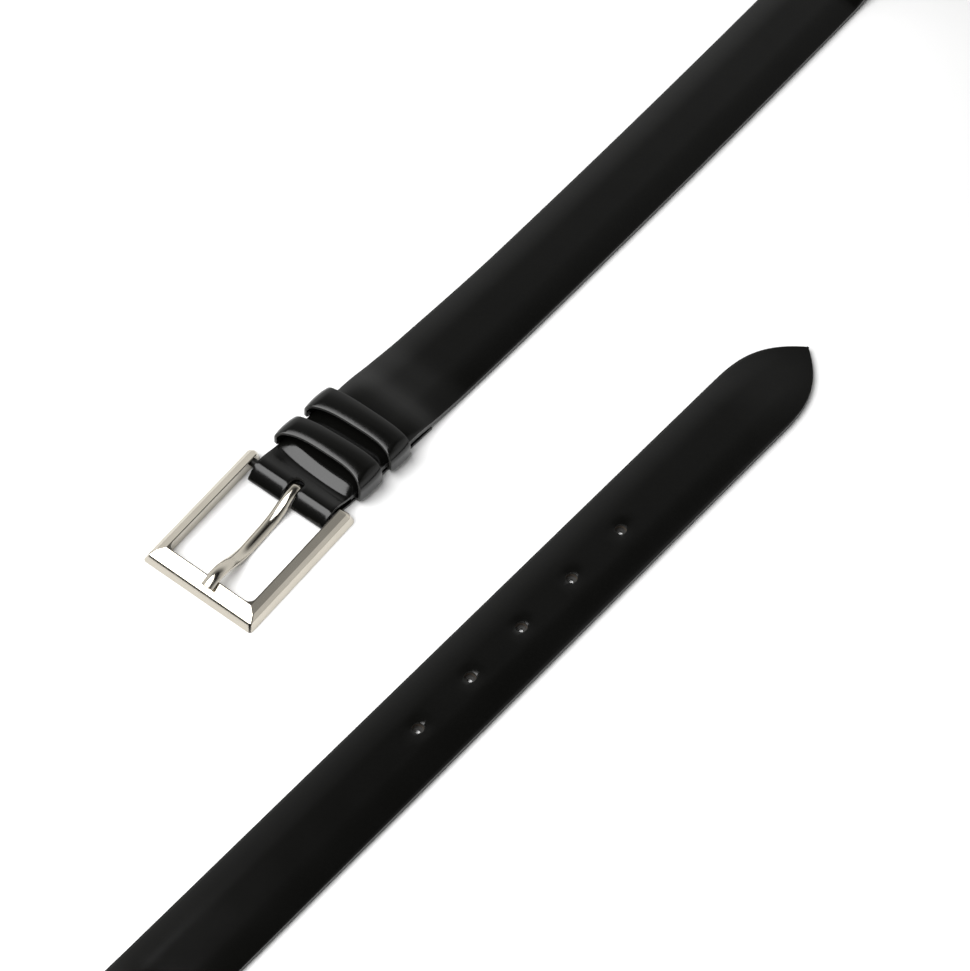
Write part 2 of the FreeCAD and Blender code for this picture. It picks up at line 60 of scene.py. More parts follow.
# ------------------------------------------------------------------ camera
# A long lens above the buckle's corner, turned a little so that both ends of the strap cross the view.
AIM = START + Vector((45.15, -42.73, 0)) * MM
CAMERA_AZIMUTH, CAMERA_ELEVATION, CAMERA_ROLL = (math.radians(a) for a in (-142.31, 57.34, 4.0))
CAMERA_DISTANCE = 1161.5 * MM
CAMERA_LENS = 130.1
away = Vector((math.cos(CAMERA_ELEVATION) * math.cos(CAMERA_AZIMUTH),
               math.cos(CAMERA_ELEVATION) * math.sin(CAMERA_AZIMUTH), math.sin(CAMERA_ELEVATION)))
level_right = (-away).cross(UP).normalized()
level_up = level_right.cross(-away)
right = level_right * math.cos(CAMERA_ROLL) + level_up * math.sin(CAMERA_ROLL)
top = level_up * math.cos(CAMERA_ROLL) - level_right * math.sin(CAMERA_ROLL)
camera = bpy.data.objects.new("camera", bpy.data.cameras.new("camera"))
bpy.context.scene.collection.objects.link(camera)
camera.data.lens = CAMERA_LENS
camera.data.clip_start = 0.05
turned = Matrix((right, top, away)).transposed().to_4x4()
camera.matrix_world = Matrix.Translation(AIM + away * CAMERA_DISTANCE) @ turned
bpy.context.scene.camera = camera


# ------------------------------------------------------------------ table and studio light
# A white table under one overhead softbox and a faint card, in a room that is bright low down and dark overhead.
def linear(hex_colour):
    """An sRGB hex colour as linear red, green, blue and alpha."""
    parts = [int(hex_colour[i:i + 2], 16) / 255 for i in (1, 3, 5)]
    return [p / 12.92 if p <= 0.04045 else ((p + 0.055) / 1.055) ** 2.4 for p in parts] + [1.0]


def node(material, kind, inputs=None, **settings):
    """Adds a node with its settings. An input is a value, or a socket to link from."""
    tree = material.node_tree
    made = tree.nodes.new(kind)
    for name, value in settings.items():
        setattr(made, name, value)
    for name, value in (inputs or {}).items():
        socket = made.inputs[name]
        if isinstance(value, bpy.types.NodeSocket):
            tree.links.new(value, socket)
        else:
            socket.default_value = value
    return made


def new_material(name, **shader):
    """A material with one Principled shader; its inputs are given by name, with _ for a space."""
    material = bpy.data.materials.new(name)
    material.use_nodes = True
    surface = material.node_tree.nodes["Principled BSDF"]
    for key, value in shader.items():
        surface.inputs[key.replace("_", " ")].default_value = value
    return material, surface


def link(material, source, target):
    material.node_tree.links.new(source, target)


def softbox(name, place, size, power):
    """An area light, turned to face the middle of the belt. Its place is from the bar, in metres."""
    light = bpy.data.lights.new(name, "AREA")
    light.shape, light.size, light.size_y, light.energy = "RECTANGLE", size[0], size[1], power
    lamp = bpy.data.objects.new(name, light)
    bpy.context.scene.collection.objects.link(lamp)
    lamp.location = START + Vector(place)
    lamp.rotation_mode = "QUATERNION"
    lamp.rotation_quaternion = (START + LIT_MIDDLE - lamp.location).to_track_quat("-Z", "Y")


LIT_MIDDLE = Vector((0.05, -0.03, 0))
TABLE_SIZE, TABLE_GAP = 8.0, 0.05 * MM
# the room's brightness at a height on its wall, as the Z of a direction that is mapped from 0 to 1
ROOM_LEVELS = ((0.45, 1.0), (0.62, 0.72), (0.75, 0.33), (0.81, 0.18), (0.865, 0.14), (0.885, 0.005))
softbox("softbox_overhead", (-0.50, 0.32, 1.08), (1.2, 1.1), 26)
softbox("card_right", (0.60, -0.52, 1.12), (0.6, 0.5), 0.25)
room = bpy.data.worlds.new("studio_surround")
bpy.context.scene.world = room
room.use_nodes = True
aim = node(room, "ShaderNodeSeparateXYZ", {"Vector": node(room, "ShaderNodeTexCoord").outputs["Generated"]})
walls = node(room, "ShaderNodeValToRGB", {"Fac": aim.outputs["Z"]})
for place, bright in ROOM_LEVELS:
    stop = walls.color_ramp.elements.new(place)
    stop.color = (bright, bright, bright * 0.99, 1)
walls.color_ramp.elements.remove(walls.color_ramp.elements[0])
walls.color_ramp.elements.remove(walls.color_ramp.elements[-1])
lit_side = node(room, "ShaderNodeMapRange", {"Value": aim.outputs["X"], "From Min": -0.45, "From Max": -0.05,
                                             "To Min": 0.02, "To Max": 1.0})
link(room, walls.outputs["Color"], room.node_tree.nodes["Background"].inputs["Color"])
link(room, lit_side.outputs["Result"], room.node_tree.nodes["Background"].inputs["Strength"])
bpy.context.scene.view_settings.view_transform = "Standard"

bpy.ops.object.select_all(action="DESELECT")
bpy.ops.mesh.primitive_plane_add(size=TABLE_SIZE, location=(0, 0, -TABLE_GAP))
table = bpy.context.object
table.name = "table_top"
laminate = new_material("matt_white_laminate", Base_Color=linear("#f4f4f4"), Roughness=0.9)[0]
table.data.materials.append(laminate)

# ------------------------------------------------------------------ outer leather
# One length of smooth black calf, 1.2 mm thick, from the flap's end round the bar and over the padding to the
# point. It is shaped flat, with X along it from the crest of the fold, Y across it and Z through its thickness,
# and each point is then carried to where it lies: over the flap, along the table and on edge round the loop.
WIDTH = 30.0 * MM
HALF = WIDTH / 2
LINING_THICK, PADDING_THICK, GRAIN_THICK = 1.1 * MM, 1.2 * MM, 1.2 * MM
BAR_HEIGHT = HINGE.z
FLAP_END = 50.0 * MM
LOOP_RADIUS = 32.0 * MM
TWIST_LENGTH, TWIST_TURN = 85.0 * MM, 62.0
FLAT_START, FLAT_TURN = 288.0 * MM, 2.65
TAIL_OFFSET, TAIL_FROM, TIP_AHEAD = -88.1 * MM, -155.0 * MM, 160.5 * MM
SIDE_HEADING, NEAR_HEADING = -143.6, -210.0
POINT_LENGTH = 35.5 * MM
SPAN = 1.5 * MM


def smooth(low, high, value):
    """0 below low, 1 above high, and an even slope change between."""
    part = min(max((value - low) / (high - low), 0.0), 1.0)
    return part * part * (3 - 2 * part)


def walk(stretches):
    """Stations along the strap: distance, point, heading and roll."""
    distance, point, heading = 0.0, Vector((0, 0, 0)), 0.0
    stations = [(distance, point.copy(), heading, 0.0)]
    for length, turn, roll_from, roll_to, ease in stretches:
        spans = max(int(length / SPAN), 1)
        for span in range(spans):
            turned = math.radians(turn) * (1 + ease * (2 * (span + 0.5) / spans - 1)) / spans
            middle = heading + turned / 2
            point = point + Vector((math.cos(middle), math.sin(middle), 0)) * (length / spans)
            heading += turned
            distance += length / spans
            roll = roll_from + (roll_to - roll_from) * smooth(0, 1, (span + 1) / spans)
            stations.append((distance, point.copy(), heading, math.radians(roll)))
    return stations


def bend(turn):
    """A stretch on edge round one bend of the loop."""
    return (math.radians(abs(turn)) * LOOP_RADIUS, turn, 90, 90, 0)


def stretches(side_run, near_run, tail_run):
    """The loop's stretches from the fold to the tip: length, turn, roll at its start and end, and ease."""
    return [
        (FLAT_START, FLAT_TURN, 0, 0, 0), (TWIST_LENGTH, -TWIST_TURN, 0, 90, 1),
        bend(SIDE_HEADING - FLAT_TURN + TWIST_TURN), (side_run, 0, 90, 90, 0),
        bend(NEAR_HEADING - SIDE_HEADING), (near_run, 0, 90, 90, 0),
        bend(-360 - NEAR_HEADING + TWIST_TURN), (TWIST_LENGTH, -TWIST_TURN, 90, 0, -1),
        (tail_run, 0, 0, 0, 0),
    ]


missing = Vector((TAIL_FROM, TAIL_OFFSET, 0)) - walk(stretches(0, 0, 0))[-1][1]
side, near = (Vector((math.cos(math.radians(heading)), math.sin(math.radians(heading)), 0))
              for heading in (SIDE_HEADING, NEAR_HEADING))
cross = side.x * near.y - side.y * near.x
side_run = (missing.x * near.y - missing.y * near.x) / cross
near_run = (side.x * missing.y - side.y * missing.x) / cross
STATIONS = walk(stretches(side_run, near_run, TIP_AHEAD - TAIL_FROM))
DISTANCES = [station[0] for station in STATIONS]
STRAP_LENGTH = DISTANCES[-1]

WIDENED = 1.5 * MM  # the strap is cut a little wider towards the buckle, on its left
WIDENED_TO, EVEN_FROM = 45.0 * MM, 120.0 * MM
SKEWED_TO, SQUARE_FROM = 2.5 * MM, 10.0 * MM  # where the fold's turn with the bar starts and ends dying out
PADDING_FROM, PADDING_ARC, PADDING_RISE = 6.9 * MM, 1.2 * MM, 5.0 * MM
LEVEL_MIDDLE = 0.35  # share of the half width over which the padding is level
FOLD_ZONE = 12.0 * MM  # as far as this from the fold's crest the strap follows the bar's height closely
# the height of the lining's underside at distances from the crest, in millimetres
LIFTS = [(0.0, 3.9), (1.5, 3.85), (6.5, 2.7), (44.0, 2.7), (51.5, 1.2), (66.0, 0.0), (1e5, 0.0)]


def knotted_lift(s):
    """Height on the straight lines between the knots of LIFTS."""
    for (a, low), (b, high) in zip(LIFTS, LIFTS[1:]):
        if s <= b * MM:
            return (low + (high - low) * (s / MM - a) / (b - a)) * MM
    return 0.0


def lift(s):
    """Height of the lining's underside: over the keepers and the flap near the buckle, then on the table."""
    reach = (1.0 if s < FOLD_ZONE else 3.0) * MM
    samples = [knotted_lift(max(s + reach * (k / 4), 0.0)) for k in range(-4, 5)]
    return sum(samples) / len(samples)


POINT_POWER, TIP_HALF = 3.2, 0.4 * MM


def half_width(s):
    """The strap's half width: even, then drawn in to the point by one minus a power."""
    part = max((s - (STRAP_LENGTH - POINT_LENGTH)) / POINT_LENGTH, 0.0)
    return max(HALF * (1 - part ** POINT_POWER), TIP_HALF)


def ramp(low, high, value, ease=0.15):
    """0 below low, 1 above high, and an even slope between that is eased only at its ends."""
    part = min(max((value - low) / (high - low), 0.0), 1.0)
    if part < ease:
        return part * part / (2 * ease * (1 - ease))
    if part > 1 - ease:
        return 1 - (1 - part) ** 2 / (2 * ease * (1 - ease))
    return (part - ease / 2) / (1 - ease)


def padded(s, u):
    """How far the padding lifts the grain at a point, from 0 to 1. It starts in an arc behind the fold."""
    begins = PADDING_FROM + PADDING_ARC * (u / HALF) ** 2
    ends = STRAP_LENGTH - POINT_LENGTH
    along = ramp(begins, begins + PADDING_RISE, s) * (1 - smooth(ends - 5 * MM, STRAP_LENGTH - 3 * MM, s))
    out = min(abs(u) / half_width(s), 1.0)
    sharpness = 1.7 + 6 * (1 - smooth(15 * MM, 55 * MM, s))
    return along * (1 - (max(out - LEVEL_MIDDLE, 0.0) / (1 - LEVEL_MIDDLE)) ** sharpness)


def smooth_line(points, steps=16):
    """A smooth line through points of a plane, in millimetres: distance, place and direction square to it."""
    places = []
    for index in range(len(points) - 1):
        a, b = points[max(index - 1, 0)], points[index]
        c, d = points[index + 1], points[min(index + 2, len(points) - 1)]
        for step in range(steps):
            t = step / steps
            places.append([MM / 2 * (2 * q + (r - p) * t + (2 * p - 5 * q + 4 * r - w) * t ** 2
                                     + (3 * q - p - 3 * r + w) * t ** 3) for p, q, r, w in zip(a, b, c, d)])
    places.append([MM * value for value in points[-1]])
    line, distance = [], 0.0
    for index, (x, z) in enumerate(places):
        if index:
            distance += math.hypot(x - places[index - 1][0], z - places[index - 1][1])
        (x0, z0), (x1, z1) = places[max(index - 1, 0)], places[min(index + 1, len(places) - 1)]
        run = math.hypot(x1 - x0, z1 - z0)
        line.append((distance, x, z, (z1 - z0) / run, (x0 - x1) / run))
    return line


def on_line(line, distance, rise):
    """The point at a distance along a line, raised square to it."""
    index = min(max(bisect.bisect_right(line, (distance,)) - 1, 0), len(line) - 2)
    first, second = line[index], line[index + 1]
    part = (distance - first[0]) / (second[0] - first[0])
    x, z, out_x, out_z = (p + (q - p) * part for p, q in zip(first[1:], second[1:]))
    return x + out_x * rise, z + out_z * rise


# the grain side of the fold, seen along the bar: from its crest down its slack front to the flap on the table
FOLD_LINE = smooth_line([(0, 6.2), (-1.3, 5.98), (-2.7, 5.05), (-4.5, 3.30), (-5.5, 1.80), (-5.15, 0.62),
                         (-4.0, 0.08), (-2.5, 0.0)])
FOLD_LENGTH = FOLD_LINE[-1][0]
FOLD_ENDS = FOLD_LINE[-1][1]


def station_at(s):
    """The strap's middle line at a distance: its point on the table, its heading and its roll."""
    index = min(max(bisect.bisect_right(DISTANCES, s) - 1, 0), len(STATIONS) - 2)
    (a, point_a, heading_a, roll_a), (b, point_b, heading_b, roll_b) = STATIONS[index], STATIONS[index + 1]
    part = (s - a) / (b - a)
    mixed = point_a.lerp(point_b, part)
    return mixed, heading_a + (heading_b - heading_a) * part, roll_a + (roll_b - roll_a) * part


def skewed(x, y, z):
    """A point near the bar, turned with the bar about its middle; the turn dies out before the keepers."""
    turn = SKEW * (1 - smooth(SKEWED_TO, SQUARE_FROM, x))
    return START + Vector((x * math.cos(turn) - y * math.sin(turn), x * math.sin(turn) + y * math.cos(turn), z))


def lie(s, u, v):
    """Where a point of the strap lies: s along it, u across it, v above the lining's underside."""
    below_grain = LINING_THICK + GRAIN_THICK - v
    u += WIDENED * (u / HALF + 1) / 2 * (1 - smooth(WIDENED_TO, EVEN_FROM, s))
    if s < -FOLD_LENGTH:
        return skewed(FOLD_ENDS - s - FOLD_LENGTH, u, below_grain)
    if s < 0:
        ahead, up = on_line(FOLD_LINE, -s, -below_grain)
        return skewed(ahead, u, up)
    point, heading, roll = station_at(s)
    forward = Vector((math.cos(heading), math.sin(heading), 0))
    left = Vector((-forward.y, forward.x, 0))
    slope = (lift(s + 0.5 * MM) - lift(max(s - 0.5 * MM, 0))) / MM if s > FOLD_ZONE else 0.0
    outward = (UP * math.cos(roll) + left * math.sin(roll) - forward * slope).normalized()
    across = left * math.cos(roll) - UP * math.sin(roll)
    place = point + UP * (HALF * math.sin(roll) + lift(s)) + across * u + outward * v
    return skewed(*place) if s < FOLD_ZONE else START + place


def flat_sheet(name, length, width, thick, columns, rows):
    """A gridded sheet of leather on the cutting table, its flesh side at Z 0."""
    bpy.ops.object.select_all(action="DESELECT")
    bpy.ops.mesh.primitive_grid_add(x_subdivisions=columns, y_subdivisions=rows, size=1, location=(0, 0, 0))
    sheet = bpy.context.object
    sheet.name = sheet.data.name = name
    bpy.ops.object.mode_set(mode="EDIT")
    bpy.ops.mesh.select_all(action="SELECT")
    bpy.ops.transform.resize(value=(length, width, 1), center_override=(0, 0, 0))
    bpy.ops.mesh.extrude_region_move(TRANSFORM_OT_translate={"value": (0, 0, thick)})
    bpy.ops.mesh.select_all(action="SELECT")
    bpy.ops.mesh.normals_make_consistent(inside=False)
    bpy.ops.object.mode_set(mode="OBJECT")
    return sheet


def choose(piece):
    """Makes a piece the only one selected."""
    bpy.ops.object.select_all(action="DESELECT")
    piece.select_set(True)
    bpy.context.view_layer.objects.active = piece


def apply_modifiers(piece):
    choose(piece)
    for name in [modifier.name for modifier in piece.modifiers]:
        bpy.ops.object.modifier_apply(modifier=name)


def soften(piece, width, segments=2, angle=40):
    """Rounds the piece's sharp edges by a small bevel."""
    bevel = piece.modifiers.new("softened", "BEVEL")
    bevel.width, bevel.segments, bevel.limit_method = width, segments, "ANGLE"
    bevel.angle_limit = math.radians(angle)
    apply_modifiers(piece)


def cut_away(piece, cutter):
    """Cuts a punch's shape out of a piece and puts the punch away."""
    cut = piece.modifiers.new("cut", "BOOLEAN")
    cut.operation, cut.solver, cut.object = "DIFFERENCE", "EXACT", cutter
    apply_modifiers(piece)
    bpy.data.objects.remove(cutter, do_unlink=True)


def smooth_shading(piece, angle=35):
    choose(piece)
    bpy.ops.object.shade_smooth_by_angle(angle=math.radians(angle))


def carry(piece, place):
    """Carries every point of a flat piece to where it lies; place takes and returns a point."""
    for vertex in piece.data.vertices:
        vertex.co = place(*vertex.co)
    piece.data.update()


TIP_TO_HOLE, HOLE_PITCH, HOLE_COUNT = 99.8, 25.0, 5
HOLES = [STRAP_LENGTH - (TIP_TO_HOLE + HOLE_PITCH * index) * MM for index in range(HOLE_COUNT)]
HOLE_RADIUS = 2.0 * MM
HOLE_DIP = 0.22 * MM  # the punch draws the grain down round each hole
PUNCH_DEPTH = 12.0 * MM
SLOT_HALF = 2.3 * MM
SLOT_END = 3.5 * MM
PRONG_SHIFT = 0.8 * MM


def calf_leather():
    """Box calf: chrome-tanned, plated smooth. A fine even grain breaks its gloss, and it is never quite level."""
    calf, surface = new_material("polished_box_calf", Base_Color=linear("#0c0c0b"), Roughness=0.17, IOR=1.43)
    where = node(calf, "ShaderNodeTexCoord").outputs["Object"]
    pores = node(calf, "ShaderNodeTexVoronoi", {"Vector": where, "Scale": 1 / (0.55 * MM)},
                 feature="DISTANCE_TO_EDGE")
    creases = node(calf, "ShaderNodeTexNoise", {"Vector": where, "Scale": 1 / (1.1 * MM), "Detail": 4.0})
    waves = node(calf, "ShaderNodeTexNoise", {"Vector": where, "Scale": 1 / (22 * MM), "Detail": 2.0})
    grain = node(calf, "ShaderNodeBump", {"Height": pores.outputs["Distance"], "Strength": 0.06,
                                          "Distance": 0.04 * MM})
    plated = node(calf, "ShaderNodeBump", {"Height": creases.outputs["Fac"], "Strength": 0.10, "Distance": 0.05 * MM,
                                           "Normal": grain.outputs["Normal"]})
    level = node(calf, "ShaderNodeBump", {"Height": waves.outputs["Fac"], "Strength": 0.25, "Distance": 0.35 * MM,
                                          "Normal": plated.outputs["Normal"]})
    link(calf, level.outputs["Normal"], surface.inputs["Normal"])
    gloss = node(calf, "ShaderNodeMapRange", {"Value": waves.outputs["Fac"], "To Min": 0.13, "To Max": 0.2})
    link(calf, gloss.outputs["Result"], surface.inputs["Roughness"])
    tone = node(calf, "ShaderNodeMix", {"Factor": creases.outputs["Fac"], "A": linear("#070706"),
                                        "B": linear("#0b0b0a")}, data_type="RGBA")
    link(calf, tone.outputs["Result"], surface.inputs["Base Color"])
    return calf


def edge_paint():
    """Acrylic edge paint, rolled on and burnished: a dull grey-black, faintly lumpy."""
    paint, surface = new_material("burnished_edge_paint", Base_Color=linear("#2b2b2a"), Roughness=0.38)
    where = node(paint, "ShaderNodeTexCoord").outputs["Object"]
    lumps = node(paint, "ShaderNodeTexNoise", {"Vector": where, "Scale": 1 / (0.9 * MM), "Detail": 3.0})
    rolled = node(paint, "ShaderNodeBump", {"Height": lumps.outputs["Fac"], "Strength": 0.2, "Distance": 0.1 * MM})
    link(paint, rolled.outputs["Normal"], surface.inputs["Normal"])
    shade = node(paint, "ShaderNodeMix", {"Factor": lumps.outputs["Fac"], "A": linear("#222221"),
                                          "B": linear("#3a3a38")}, data_type="RGBA")
    link(paint, shade.outputs["Result"], surface.inputs["Base Color"])
    return paint


CALF, EDGE = calf_leather(), edge_paint()
STEEPEST_FACE = 0.72  # a facet whose normal leans further than this from the vertical is a cut edge


def paint_edges(piece, leather):
    """Gives the flat piece its two finishes: the leather on its faces, edge paint on its cut edges."""
    piece.data.materials.append(leather)
    piece.data.materials.append(EDGE)
    for polygon in piece.data.polygons:
        polygon.material_index = 1 if abs(polygon.normal.z) < STEEPEST_FACE else 0


def round_punch(radius, place, sides):
    """A round punch, standing through the sheet on the cutting table."""
    bpy.ops.object.select_all(action="DESELECT")
    bpy.ops.mesh.primitive_cylinder_add(vertices=sides, radius=radius, depth=PUNCH_DEPTH, location=place)
    punch = bpy.context.object
    bpy.ops.object.transform_apply(location=True, rotation=False, scale=False)
    return punch


def punch_holes(piece, radius):
    for hole in HOLES:
        cut_away(piece, round_punch(radius, (hole, 0, 0), 32))


def obround(low, high, radius, across):
    """A punch with two round ends, for the prong's slot."""
    punch = round_punch(radius, (0, across, 0), 48)
    for vertex in punch.data.vertices:
        vertex.co.x += (high - radius) if vertex.co.x > 0 else (low + radius)
    return punch


OUTER_FROM = FOLD_ENDS - FOLD_LENGTH - FLAP_END  # the flap's end, which lies under the strap
SHEET_LENGTH = 1.0
OUTER_COLUMNS, OUTER_ROWS = 800, 28
outer = flat_sheet("outer_leather_strap", SHEET_LENGTH, WIDTH, GRAIN_THICK, OUTER_COLUMNS, OUTER_ROWS)


def marked_out(spacing):
    """Sets out a sheet's columns along the strap, close together where it bends most, and cuts its point."""
    def place(x, y, z):
        share = x / SHEET_LENGTH + 0.5
        for (part_a, s_a), (part_b, s_b) in zip(spacing, spacing[1:]):
            if share <= part_b + 1e-6:
                part = (share - part_a) / (part_b - part_a)
                s = s_a + (s_b - s_a) * (1 - (1 - part) ** 1.5 if s_b == STRAP_LENGTH else part)
                return Vector((s, y / HALF * half_width(s), z))
    return place


carry(outer, marked_out([(0, OUTER_FROM), (0.03, -FOLD_LENGTH - 3 * MM), (0.17, 18 * MM),
                         (0.92, STRAP_LENGTH - 60 * MM), (1, STRAP_LENGTH)]))
punch_holes(outer, HOLE_RADIUS)
slot_middle = (PRONG_SHIFT - WIDENED / 2) / (1 + WIDENED / WIDTH)  # widening the strap carries it to the prong
cut_away(outer, obround(FOLD_ENDS - FOLD_LENGTH - SLOT_END, SLOT_END, SLOT_HALF, slot_middle))
soften(outer, 0.3 * MM)
paint_edges(outer, CALF)


def lie_outer(s, u, h):
    """The grain lies on the padding in its middle and on the lining at its edges, and dips at each hole."""
    near_hole = min(math.hypot(s - hole, u) for hole in HOLES)
    dip = HOLE_DIP * (1 - smooth(HOLE_RADIUS, 2.2 * HOLE_RADIUS, near_hole)) * (h / GRAIN_THICK)
    return lie(s, u, LINING_THICK + h - dip + PADDING_THICK * padded(s, u))


carry(outer, lie_outer)
smooth_shading(outer)
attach(outer, "strap")
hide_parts("outer_leather")

# ------------------------------------------------------------------ lining
# The under layer: thin split leather, finished dull, glued to the outer leather all round its edge.
LINING_FROM = 9.8 * MM


def split_leather():
    """Lining split: sanded and sprayed black, so it is dull, with a short nap and shallow wrinkles."""
    split, surface = new_material("sanded_lining_split", Base_Color=linear("#232221"), Roughness=0.62)
    where = node(split, "ShaderNodeTexCoord").outputs["Object"]
    nap = node(split, "ShaderNodeTexNoise", {"Vector": where, "Scale": 1 / (0.35 * MM), "Detail": 5.0})
    pebble = node(split, "ShaderNodeTexVoronoi", {"Vector": where, "Scale": 1 / (0.9 * MM)})
    rough = node(split, "ShaderNodeBump", {"Height": nap.outputs["Fac"], "Strength": 0.35, "Distance": 0.08 * MM})
    wrinkled = node(split, "ShaderNodeBump", {"Height": pebble.outputs["Distance"], "Strength": 0.25,
                                              "Distance": 0.1 * MM, "Normal": rough.outputs["Normal"]})
    link(split, wrinkled.outputs["Normal"], surface.inputs["Normal"])
    shade = node(split, "ShaderNodeMix", {"Factor": nap.outputs["Fac"], "A": linear("#1c1b1a"),
                                          "B": linear("#33312e")}, data_type="RGBA")
    link(split, shade.outputs["Result"], surface.inputs["Base Color"])
    return split


LINING_HOLE_RADIUS = 0.8 * MM  # the soft split closes up behind the punch
LINING_COLUMNS, LINING_ROWS = 760, 10
lining = flat_sheet("lining_split_leather", SHEET_LENGTH, WIDTH, LINING_THICK, LINING_COLUMNS, LINING_ROWS)
carry(lining, marked_out([(0, LINING_FROM), (0.92, STRAP_LENGTH - 60 * MM), (1, STRAP_LENGTH)]))
punch_holes(lining, LINING_HOLE_RADIUS)
soften(lining, 0.18 * MM)
paint_edges(lining, split_leather())
carry(lining, lie)
smooth_shading(lining)
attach(lining, "strap")
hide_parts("lining")

# ------------------------------------------------------------------ keepers
# Two bands of the same leather hold the point down: the front one is sewn behind the buckle and the rear one
# slides. Each is a strip, domed by its filler, wrapped on a block and joined butt to butt under the strap.
KEEPER_INNER, KEEPER_WALL, KEEPER_ASIDE = 16.85 * MM, 1.6 * MM, 0.45 * MM
KEEPER_TOP = 12.0 * MM
TOP_ROUND, FOOT_ROUND = 2.4 * MM, 1.0 * MM
DOME, ARCH = 0.30, 0.6 * MM
KEEPER_FREE = (1.5 * MM, 5.0 * MM)  # the heights between which the edges leave their straight run


def keeper_path(bottom):
    """The inside line of a keeper, seen along the strap: distance round it, Y, Z and outward direction."""
    corners, top = [(0.0, bottom, 0.0, -1.0)], KEEPER_TOP - KEEPER_WALL

    def corner(y, z, radius, first):
        for step in range(13):
            turn = math.radians(first + 90 * step / 12)
            corners.append((y + radius * math.cos(turn), z + radius * math.sin(turn), math.cos(turn), math.sin(turn)))

    corner(KEEPER_INNER - FOOT_ROUND, bottom + FOOT_ROUND, FOOT_ROUND, -90)
    corner(KEEPER_INNER - TOP_ROUND, top - TOP_ROUND, TOP_ROUND, 0)
    for step in range(1, 24):
        corners.append(((KEEPER_INNER - TOP_ROUND) * (1 - step / 12), top, 0.0, 1.0))
    corner(-KEEPER_INNER + TOP_ROUND, top - TOP_ROUND, TOP_ROUND, 90)
    corner(-KEEPER_INNER + FOOT_ROUND, bottom + FOOT_ROUND, FOOT_ROUND, 180)
    corners.append((0.0, bottom, 0.0, -1.0))
    path, distance = [], 0.0
    for index, (y, z, out_y, out_z) in enumerate(corners):
        if index:
            distance += math.hypot(y - corners[index - 1][0], z - corners[index - 1][1])
        path.append((distance, y, z, out_y, out_z))
    return path


def keeper(name, node_name, body, base, front, rear):
    """Wraps one keeper. Its top edges are each a middle, a skew and a bow; below they run straight across."""
    low, high = (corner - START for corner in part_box(node_name))
    bottom, wide = low.z + base, high.x - low.x
    path = keeper_path(bottom)
    girth = path[-1][0]
    band = flat_sheet(name, girth, wide, KEEPER_WALL, 280, 16)
    soften(band, 0.15 * MM, segments=2)
    paint_edges(band, CALF)

    def wrap(x, y, z):
        distance = min(max(x + girth / 2, 0.0), girth)
        index = min(max(bisect.bisect_right(path, (distance,)) - 1, 0), len(path) - 2)
        first, second = path[index], path[index + 1]
        part = (distance - first[0]) / max(second[0] - first[0], 1e-9)
        across, up, out_y, out_z = (p + (q - p) * part for p, q in zip(first[1:], second[1:]))
        thick = z * (1 - DOME * abs(2 * y / wide) ** 2.2)
        if out_z < 0:
            thick = z * (base / KEEPER_WALL) * (-out_z) + thick * (1 + out_z)
        free = smooth(*KEEPER_FREE, up)
        up -= ARCH * free * (across / KEEPER_INNER) ** 2
        edges = []
        for middle, skew, bow in (front, rear):
            edges.append(middle * MM - skew * across - bow * MM * abs(across / KEEPER_INNER) ** 4)
        share = 0.5 - y / wide
        straight, drawn = low.x + wide * (1 - share), edges[1] + (edges[0] - edges[1]) * share
        return START + Vector((straight + (drawn - straight) * free, KEEPER_ASIDE + across + out_y * thick,
                               up + out_z * thick))

    carry(band, wrap)
    bpy.ops.object.mode_set(mode="EDIT")
    bpy.ops.mesh.select_all(action="SELECT")
    bpy.ops.mesh.normals_make_consistent(inside=False)
    bpy.ops.object.mode_set(mode="OBJECT")
    smooth_shading(band)
    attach(band, body)
    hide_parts(node_name)


keeper("keeper_sewn_front", "keeper_front", "strap", 1.5 * MM, (13.6, 0.09, 3.4), (21.7, 0.12, 1.5))
keeper("keeper_sliding_rear", "keeper_rear", "rear_keeper", 1.2 * MM, (27.8, 0.10, 2.8), (36.3, 0.07, 1.2))

# ------------------------------------------------------------------ buckle frame
# A three-sided frame, cast in zinc alloy, ground to flat slopes that meet at mitres in its front corners,
# polished and nickel plated. Its top is a ridge along the window, its slopes fall outwards and its foot flares.
FRAME_SHIFT = 1.6 * MM
FRAME_LOW = 0.1 * MM
OUTER_HALF, WINDOW_HALF = 22.5 * MM, 17.3 * MM
FRONT, WINDOW_FRONT, REAR = -50.2 * MM, -43.5 * MM, 5.0 * MM
# height, how much of the side's width is left, how much of the front's, and how far the arm ends draw in
LEVELS = [(2.05, 0.846, 0.851, 0.7), (2.85, 0.80, 0.755, 0.85), (3.9, 0.538, 0.362, 1.6), (4.85, 0.076, 0.06, 2.9)]


